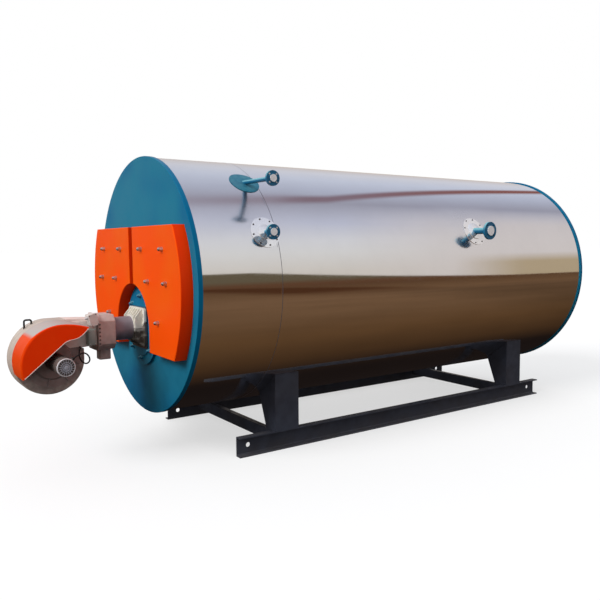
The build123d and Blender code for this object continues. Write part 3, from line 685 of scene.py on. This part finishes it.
def dressRosettes(look, side):
    screwPlaces = []
    collars = bmesh.new()
    for kind in ("lower_gauge", "feed"):
        ring = look[kind]
        stem = middle(kind + "_nozzle_" + side)
        reach = ring["screws"]
        for aim in ringTurns(ring):
            spot, way = onCasing(stem, reach * math.cos(aim), reach * math.sin(aim), look["thickness"])
            screwPlaces.append(facing(spot, way, aim))
        rim, pipe, top = ring["collar"], ring["pipe"], look["top"]
        inner = pipe * look["bore"]
        one = bmesh.new()
        turned(one, [
            (rim, 0.0), (rim - look["ease"], look["edge"]),
            (pipe + look["neck"], top), (inner, top), (inner, 0.0),
        ])
        repeat(one, [facing(*onCasing(stem, 0.0, 0.0, 0.0))], collars)
    addPiece("rosette_collars_" + side, collars, rosetteSteel, look["crease"])
    screws = repeat(panScrew(look["screw"], look["screwHeight"]), screwPlaces)
    addPiece("rosette_screws_" + side, screws, screwDark)


for sideName in ("near", "far"):
    dressRosettes(rosetteLook, sideName)
print("rosettes dressed")


def onBothSides(x, out, z):
    return [facing((x, side * out, z), (0, side, 0)) for side in bothSides]


# nozzles: a weld bead where each pipe meets its flange, by the pipe's radius and the flange's reach
weldLook = {
    "bead": 0.005, "points": 10, "steps": 40, "crease": 60,
    "upper_gauge": (0.017, 1.055), "lower_gauge": (0.017, 1.055), "feed": (0.030, 1.117),
}


def flangeWelds(look):
    welds = bmesh.new()
    bead = look["bead"]
    around = [math.tau * i / look["points"] for i in range(look["points"])]
    for kind in ("upper_gauge", "lower_gauge", "feed"):
        radius, reach = look[kind]
        one = bmesh.new()
        turned(one, [(radius + bead * math.cos(a), bead * math.sin(a)) for a in around], look["steps"])
        stem = middle(kind + "_nozzle_near")
        repeat(one, onBothSides(stem.x, reach, stem.z), welds)
    addPiece("flange_welds", welds, nozzleBlue, look["crease"])


flangeWelds(weldLook)

# gauge flanges: push-in plugs of grey plastic close the bolt holes
holePlugLook = {
    "radius": 0.0068, "deep": 0.006, "proud": 0.0008, "ease": 0.0004, "steps": 24,
    "circle": 0.0425, "face": 1.073, "start": 45.0, "count": 4,
}


def holePlugs(look):
    one = bmesh.new()
    disc(one, look["radius"], -look["deep"], look["proud"], look["ease"], look["steps"])
    places = []
    for kind in ("upper_gauge", "lower_gauge"):
        stem = middle(kind + "_nozzle_near")
        for aim in ringTurns(look):
            x, z = stem.x + look["circle"] * math.cos(aim), stem.z + look["circle"] * math.sin(aim)
            places += onBothSides(x, look["face"], z)
    addPiece("flange_hole_plugs", repeat(one, places), rimGrey)


holePlugs(holePlugLook)

# base: fillet welds across the skid at each leg's foot
footLook = {"bead": 0.005, "inset": 0.001, "steps": 12, "crease": 60}


def footWelds(look):
    welds = bmesh.new()
    for legName in ("front_leg_near", "front_leg_far", "rear_leg_near", "rear_leg_far"):
        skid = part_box("skid_near" if "near" in legName else "skid_far")
        low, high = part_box(legName)
        length = skid[1].y - skid[0].y - 2 * look["inset"]
        for x in (low.x, high.x):
            bmesh.ops.create_cone(
                welds, cap_ends=True, segments=look["steps"], radius1=look["bead"], radius2=look["bead"],
                depth=length, matrix=facing((x, (skid[0].y + skid[1].y) / 2, low.z), (0, 1, 0)),
            )
    addPiece("foot_welds", welds, baseBlack, look["crease"])


footWelds(footLook)
print("welds laid")

# mounting: a clamp bolt through each ear of the split collar
clampLook = {
    "across": 0.017, "height": 0.010, "washer": 0.0105, "turn": 0.4,
    "station": -0.092, "out": 0.1165, "ear": 0.020,
}


def clampBolts(look):
    x = faceX + look["station"]
    places = [
        facing((x, side * look["out"], burnerZ + up * look["ear"]), (0, 0, up), side * look["turn"])
        for side in bothSides for up in (-1, 1)
    ]
    addPiece("clamp_bolts", repeat(hexBolt(look), places), screwSteel)


clampBolts(clampLook)

# burner body: small screws down the rib's flat sides
ribLook = {
    "across": 0.012, "height": 0.006, "washer": 0.0075, "count": 6, "from": -0.090, "to": 0.060,
    "inset": 0.010,
}


def ribScrews(look):
    low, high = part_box("burner_body")
    places = []
    for i in range(look["count"]):
        rise = look["from"] + (look["to"] - look["from"]) * i / (look["count"] - 1)
        for y, side in ((low.y, -1), (high.y, 1)):
            places.append(facing((low.x + look["inset"], y, burnerZ + rise), (0, side, 0), i))
    addPiece("rib_screws", repeat(hexBolt(look), places), motorDark)


ribScrews(ribLook)


def lidScrews(name, look, lidAt, finish):  # one at each corner of a lid that faces the near side
    places = [
        lidAt @ facing((u * look["half"][0], 0.0, v * look["half"][1]), (0, -1, 0), u + v)
        for u in (-1, 1) for v in (-1, 1)
    ]
    addPiece(name, repeat(panScrew(look["screw"], look["height"]), places), finish)


# junction box: lid screws and a gland on its left side, which lean with it
# the gland's steps are given by radius, foot, top, eased edge and sides
junctionLook = {
    "lean": -14.0, "place": (-0.476, 0.106), "half": (0.0255, 0.0395), "screw": 0.0044, "height": 0.0026,
    "glandPlace": (-0.029, 0.050, 0.020), "gland": [
        (0.013, 0.0, 0.006, 0.001, hexSides),
        (0.011, 0.006, 0.016, 0.002, 24), (0.008, 0.016, 0.022, 0.002, 24),
    ],
}


def dressJunctionBox(look):
    along, rise = look["place"]
    spot = Vector((faceX + along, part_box("junction_box")[0].y, burnerZ + rise))
    boxAt = Matrix.Translation(spot) @ Matrix.Rotation(math.radians(look["lean"]), 4, "Y")
    lidScrews("junction_screws", look, boxAt, screwDark)
    gland = bmesh.new()
    for step in look["gland"]:
        disc(gland, *step)
    places = [boxAt @ facing(look["glandPlace"], (-1, 0, 0))]
    addPiece("junction_gland", repeat(gland, places), rimGrey)


dressJunctionBox(junctionLook)

# control box: a raised lid and its screws
controlLook = {
    "lid": (0.050, 0.006, 0.112), "ease": 0.0018, "screw": 0.0040, "height": 0.0024, "half": (0.020, 0.050),
}


def dressControlBox(look):
    low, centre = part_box("control_box")[0], middle("control_box")
    lid = slab(look["lid"], (centre.x, low.y, centre.z), look["ease"])
    addPiece("control_lid", lid, boxGreen)
    lidAt = Matrix.Translation((centre.x, low.y - look["lid"][1] / 2, centre.z))
    lidScrews("control_screws", look, lidAt, screwSteel)


dressControlBox(controlLook)
print("burner boxes dressed")

# duct: its near side is a sheet over the corner of the fan plate; corners by station and height over the axis
ductSideLook = {
    "corners": [
        (-0.690, -0.360), (-0.678, -0.408), (-0.664, -0.430), (-0.638, -0.446), (-0.430, -0.438),
        (-0.430, -0.245), (-0.640, -0.245),
    ],
    "thickness": 0.0165, "ease": 0.003,
}


def ductSide(look):
    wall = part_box("outlet_duct")[0].y
    shape = bmesh.new()
    face = shape.faces.new([shape.verts.new((faceX + x, wall, axisZ + z)) for x, z in look["corners"]])
    made = bmesh.ops.extrude_face_region(shape, geom=[face])["geom"]
    front = [g for g in made if isinstance(g, bmesh.types.BMVert)]
    bmesh.ops.translate(shape, vec=(0, -look["thickness"], 0), verts=front)
    easeEdges(shape, [e for e in shape.edges if all(v in front for v in e.verts)], look["ease"])
    addPiece("duct_side", shape, ductLitGrey)


ductSide(ductSideLook)

# fan plate: ribs from the boss to the rim
fanRibLook = {
    "count": 8, "from": 0.142, "to": 0.203, "height": 0.014, "width": 0.009, "start": 0.2, "skip": (7,),
    "plate": 0.012, "sunk": 0.002, "ease": 0.002,
}


def fanRibs(look):
    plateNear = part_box("fan_scroll")[0].y - look["plate"]
    size = (look["to"] - look["from"], look["height"], look["width"])
    centre = ((look["from"] + look["to"]) / 2, look["sunk"] - look["height"] / 2, 0.0)
    hub = Matrix.Translation((fanX, plateNear, fanZ))
    kept = [i for i in range(look["count"]) if i not in look["skip"]]
    turns = [hub @ Matrix.Rotation(math.tau * i / look["count"] + look["start"], 4, "Y") for i in kept]
    addPiece("fan_plate_ribs", repeat(slab(size, centre, look["ease"]), turns), fanDark)


fanRibs(fanRibLook)

# hood: a pale trim along the lower edge of its front sheet
trimLook = {"radius": 0.0034, "sunk": 0.4, "sharp": 60.0, "merge": 0.00005, "flat": 0.0005, "crease": 50}


def lowerEdge(look):  # the corners along the front sheet's lower edge, from left to right
    shape = bmesh.new()
    shape.from_mesh(nodes["intake_hood"].data)
    bmesh.ops.remove_doubles(shape, verts=shape.verts, dist=look["merge"])
    front = min(v.co.y for v in shape.verts)
    inFront = [e for e in shape.edges if all(v.co.y < front + look["flat"] for v in e.verts)]
    sharp = math.radians(look["sharp"])
    edges = [e for e in inFront if len(e.link_faces) == 2 and e.calc_face_angle() > sharp]
    corners = sorted({v for e in edges for v in e.verts}, key=lambda v: v.co.x)
    points = [(v.co.x, front + look["radius"] * look["sunk"], v.co.z, 1.0) for v in corners]
    shape.free()
    return points


def hoodTrim(look):
    points = lowerEdge(look)
    curve = bpy.data.curves.new("hood_trim", "CURVE")
    curve.dimensions = "3D"
    curve.bevel_depth = look["radius"]
    curve.bevel_resolution = 4
    curve.use_fill_caps = True
    line = curve.splines.new("POLY")
    line.points.add(len(points) - 1)
    for point, spot in zip(line.points, points):
        point.co = spot
    holder = bpy.data.objects.new("hood_trim_line", curve)
    mesh = bpy.data.meshes.new_from_object(holder)
    bpy.data.objects.remove(holder)
    trim = bmesh.new()
    trim.from_mesh(mesh)
    bpy.data.meshes.remove(mesh)
    addPiece("hood_trim", trim, trimPale, look["crease"])
    print("hood trim follows", len(points), "points")


hoodTrim(trimLook)

# cowl: a pale rim, and bars and rings that cross its slots; heights are over the cowl's end
cowlLook = {
    "rim": (0.0585, 0.0665), "proud": 0.0015, "lip": 0.001, "slope": 0.004, "seat": -0.004, "inset": 0.002,
    "shoulder": -0.003, "foot": -0.008, "steps": 64, "crease": 40,
    "rings": ((0.0225, 0.0265), (0.0355, 0.0395)), "ringTop": 0.0008, "ringFoot": -0.003,
    "hub": 0.015, "hubTop": 0.0014, "hubEase": 0.001,
    "bars": 18, "bar": (0.045, 0.0034, 0.003), "barPlace": (0.0365, 0.0, -0.0008), "barEase": 0.0008,
}


def cowlEnd(look):
    place = facing((fanX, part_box("motor_cowl")[0].y, fanZ), (0, -1, 0))
    inner, outer = look["rim"]
    lip, slope, seat, foot = look["lip"], look["slope"], look["seat"], look["foot"]
    rim = bmesh.new()
    turned(rim, [
        (inner, seat), (inner, 0.0), (inner + lip, look["proud"]), (outer - slope, look["proud"]),
        (outer - lip, look["shoulder"]), (outer, foot), (outer - slope, foot), (inner + look["inset"], seat),
    ], look["steps"])
    addPiece("cowl_rim", repeat(rim, [place]), rimGrey, look["crease"])
    grille = bmesh.new()
    low, high = look["ringFoot"], look["ringTop"]
    for near, far in look["rings"]:
        turned(grille, [(near, low), (near, high), (far, high), (far, low)])
    disc(grille, look["hub"], low, look["hubTop"], look["hubEase"])
    turns = [Matrix.Rotation(math.tau * (i + 0.5) / look["bars"], 4, "Z") for i in range(look["bars"])]
    repeat(slab(look["bar"], look["barPlace"], look["barEase"]), turns, grille)
    addPiece("cowl_grille", repeat(grille, [place]), grilleGrey)


cowlEnd(cowlLook)

# nuts where the lead leaves the motor and enters the duct
leadNutLook = {
    "nut": 0.014, "nutEase": 0.001, "sleeve": 0.010, "sleeveEase": 0.002, "sleeveSteps": 24,
    "heights": (0.008, 0.016), "back": 0.008,
}


def leadNuts(look):
    shape = bmesh.new()
    step, top = look["heights"]
    disc(shape, look["nut"], 0.0, step, look["nutEase"], hexSides)
    disc(shape, look["sleeve"], step, top, look["sleeveEase"], look["sleeveSteps"])
    aim = math.radians(leadLook["angle"])
    way = Vector((math.cos(aim), 0, math.sin(aim)))
    onMotor = facing(Vector((fanX, leadLook["out"], fanZ)) + way * (leadLook["gland"] - look["back"]), way)
    x, y, z = leadLook["route"][-1]
    onDuct = facing((fanX + x, y, fanZ + z), (0, -1, 0))
    addPiece("lead_nuts", repeat(shape, [onMotor, onDuct]), handleBlack)


leadNuts(leadNutLook)
print("fan and motor dressed")


def stageSheet(name, look):  # a flat sheet whose material is still empty
    shape = bmesh.new()
    at = Matrix.Translation((0, 0, look["height"]))
    bmesh.ops.create_grid(shape, x_segments=1, y_segments=1, size=look["half"], matrix=at)
    mesh = bpy.data.meshes.new(name)
    shape.to_mesh(mesh)
    shape.free()
    finish, shader, place = newFinish(name)
    place.tree.nodes.remove(shader)
    mesh.materials.append(finish)
    sheet = intoScene(name, mesh)
    return sheet, place, place.tree.nodes["Material Output"].inputs["Surface"]


white, black = (1.0, 1.0, 1.0, 1.0), (0.0, 0.0, 0.0, 1.0)
floorLook = {"half": 150.0, "height": -0.001, "colour": (0.95, 0.95, 0.95, 1.0), "glow": 0.6}


def paleFloor(look):  # what the camera sees, with the boiler's shadow
    floor, place, output = stageSheet("paleFloor", look)
    lit = place.node("BsdfDiffuse", None, {"Color": look["colour"]})
    glow = place.node("Emission", None, {"Color": white, "Strength": 1.0})
    mixed = place.node("MixShader", None, {0: look["glow"], 1: lit, 2: glow})
    place.tree.links.new(mixed.socket, output)
    for ray in ("diffuse", "glossy", "transmission", "shadow"):
        setattr(floor, "visible_" + ray, False)


paleFloor(floorLook)

# the brown ground is what polished metal shows below its horizon
# its rows go by the distance from the boiler's axis in metres
# the darkest rows, nearest the axis, are a painted shadow of the boiler
groundLook = {
    "half": 32.0, "height": -0.004,
    "rows": [
        (0.6, (0.012, 0.008, 0.007)), (1.0, (0.065, 0.032, 0.014)), (1.6, (0.12, 0.06, 0.025)),
        (2.8, (0.165, 0.09, 0.045)), (5.0, (0.19, 0.105, 0.055)), (9.0, (0.15, 0.08, 0.04)),
        (16.0, (0.12, 0.06, 0.03)), (30.0, (0.118, 0.055, 0.028)),
    ],
    "uneven": 1.4, "unevenShare": 0.14, "unevenFrom": 0.93, "unevenStretch": (0.25, 1.0, 1.0),
    # a dark strip that runs away from the boiler
    "strip": (0.078, 0.03, 0.013, 1.0), "stripAway": (5.5, 9.0), "stripLean": 0.3, "stripAt": 4.6,
    "stripWidth": (1.2, 2.4),
    # shade past the rear end, and soil
    "shadeBack": (5.0, 7.5), "shadeAway": (5.0, 7.0), "shade": 0.3,
    "soil": 0.6, "soilShows": (0.3, 0.7), "soilShare": 0.14, "soilStretch": (0.3, 1.0, 1.0),
}


def brownGround(look):
    ground, place, output = stageSheet("brownGround", look)
    back = place.part(0) - faceX
    uneven = grain(place, look["uneven"], detail=4.0, stretch=look["unevenStretch"])
    away = abs(place.part(1)) * (uneven * look["unevenShare"] + look["unevenFrom"])
    stops = [(distance / look["half"], colour + (1.0,)) for distance, colour in look["rows"]]
    rows = place.node("ValToRGB", {"stops": stops}, {"Fac": away / look["half"]})
    offStrip = band(abs(back - away * look["stripLean"] - look["stripAt"]), *look["stripWidth"])
    rows = mixColours(band(away, *look["stripAway"]) * (1 - offStrip), rows, look["strip"])
    shade = band(back, *look["shadeBack"]) * (1 - band(away, *look["shadeAway"])) * look["shade"]
    soil = grain(place, look["soil"], detail=5.0, stretch=look["soilStretch"])
    dim = band(soil, *look["soilShows"]) * look["soilShare"] + shade
    glow = place.node("Emission", None, {"Color": mixColours(dim, rows, black), "Strength": 1.0})
    place.tree.links.new(glow.socket, output)
    ground.visible_camera = False
    ground.visible_diffuse = False


brownGround(groundLook)

skyLook = {
    # the soft light, by the height of the direction
    "zenith": (0.72, 0.73, 0.76, 1.0), "zenithRise": (0.0, 0.9), "horizon": (0.70, 0.70, 0.71, 1.0),
    "under": (0.055, 0.047, 0.042, 1.0), "underRise": (-0.12, 0.02),
    # what polished metal shows, by the angle about the boiler's axis in degrees from the near horizon
    "rows": [
        (9, (0.68, 0.63, 0.57)), (29, (0.74, 0.73, 0.72)), (40, (0.72, 0.72, 0.75)),
        (60, (0.55, 0.57, 0.69)), (84, (0.36, 0.36, 0.44)), (102, (0.48, 0.51, 0.63)),
        (122, (0.60, 0.64, 0.76)), (140, (0.67, 0.68, 0.75)), (168, (0.60, 0.52, 0.46)),
    ],
    # shade on the far side ahead of the boiler, a paler rear, and a warm patch low down past the rear end
    "shade": (0.10, 0.085, 0.07, 1.0), "shadeAhead": (0.3, 0.5), "shadeTurn": (150.0, 168.0),
    "rear": (0.68, 0.62, 0.60, 1.0), "rearAlong": (0.62, 0.76), "rearTurn": (60.0, 82.0), "rearShare": 0.85,
    "warm": (0.47, 0.37, 0.24, 1.0), "warmAlong": (0.74, 0.80), "warmTurn": (13.0, 24.0),
    # a dark line overhead that climbs towards the rear, and climbs faster past the bend
    "mauve": (0.24, 0.17, 0.21, 1.0), "rust": (0.25, 0.095, 0.08, 1.0), "rustAlong": (0.62, 0.78),
    "lineTurn": 83, "lineAt": 0.46, "lineClimb": 47, "bendAt": 0.60, "bendClimb": 121,
    "lineWidth": (2.0, 7.0), "lineAlong": (0.30, 0.54),
    # the skyline sinks towards the rear, over far ground with a hazy edge
    "skyline": 34.9, "skylineFall": 48.2, "skylineLimits": (-9.0, 10.5), "skylineEdge": (-0.35, 0.35),
    "farGround": (0.118, 0.055, 0.028, 1.0), "haze": (0.125, 0.098, 0.06, 1.0), "hazeTurn": (-1.0, 3.0),
}


def mirroredSky(look, along, turn):
    stops = [(angle / 180, colour + (1.0,)) for angle, colour in look["rows"]]
    above = turn.node("ValToRGB", {"stops": stops}, {"Fac": turn / 180})
    shaded = band(0 - along, *look["shadeAhead"]) * band(turn, *look["shadeTurn"])
    above = mixColours(shaded, above, look["shade"])
    rear = band(along, *look["rearAlong"]) * (1 - band(turn, *look["rearTurn"])) * look["rearShare"]
    above = mixColours(rear, above, look["rear"])
    warm = band(along, *look["warmAlong"]) * (1 - band(turn, *look["warmTurn"]))
    above = mixColours(warm, above, look["warm"])
    bend = (along - look["bendAt"]).clip() * look["bendClimb"]
    middleTurn = (along - look["lineAt"]) * look["lineClimb"] + bend + look["lineTurn"]
    line = (1 - band(abs(turn - middleTurn), *look["lineWidth"])) * band(along, *look["lineAlong"])
    above = mixColours(line, above, mixColours(band(along, *look["rustAlong"]), look["mauve"], look["rust"]))
    skyline = (look["skyline"] - along * look["skylineFall"]).clip(*look["skylineLimits"])
    ground = mixColours(band(turn, *look["hazeTurn"]), look["farGround"], look["haze"])
    return mixColours(band(turn - skyline, *look["skylineEdge"]), ground, above)


def studioSky(look):
    world = bpy.data.worlds.new("studioSky")
    bpy.context.scene.world = world
    world.use_nodes = True
    world.node_tree.nodes.clear()
    way = Wire(world.node_tree).node("TexCoord", out="Generated")
    along, out, up = (way.part(i) for i in range(3))
    turn = way.maths("ARCTAN2", up, 0 - out) * (180 / math.pi)
    lit = mixColours(band(up, *look["zenithRise"]), look["horizon"], look["zenith"])
    lit = mixColours(band(up, *look["underRise"]), look["under"], lit)
    fromGloss = way.node("LightPath", out="Is Glossy Ray")
    fromCamera = way.node("LightPath", out="Is Camera Ray")
    shown = mixColours(fromGloss, lit, mirroredSky(look, along, turn))
    shown = mixColours(fromCamera, shown, white)
    light = way.node("Background", None, {"Color": shown, "Strength": 1.0})
    way.node("OutputWorld", None, {"Surface": light})


studioSky(skyLook)

sunLook = {"strength": 2.2, "from": (-0.80, -0.08, 0.60), "width": 28.0}


def softSun(look):
    lamp = bpy.data.lights.new("softSun", "SUN")
    lamp.energy = look["strength"]
    lamp.angle = math.radians(look["width"])
    sun = intoScene("softSun", lamp)
    sun.visible_glossy = False  # the polished sheet shows no lamp
    sun.rotation_mode = "QUATERNION"
    sun.rotation_quaternion = Vector(look["from"]).to_track_quat("Z", "Y")


softSun(sunLook)
bpy.context.scene.view_settings.view_transform = "Standard"
print("floor and light set")
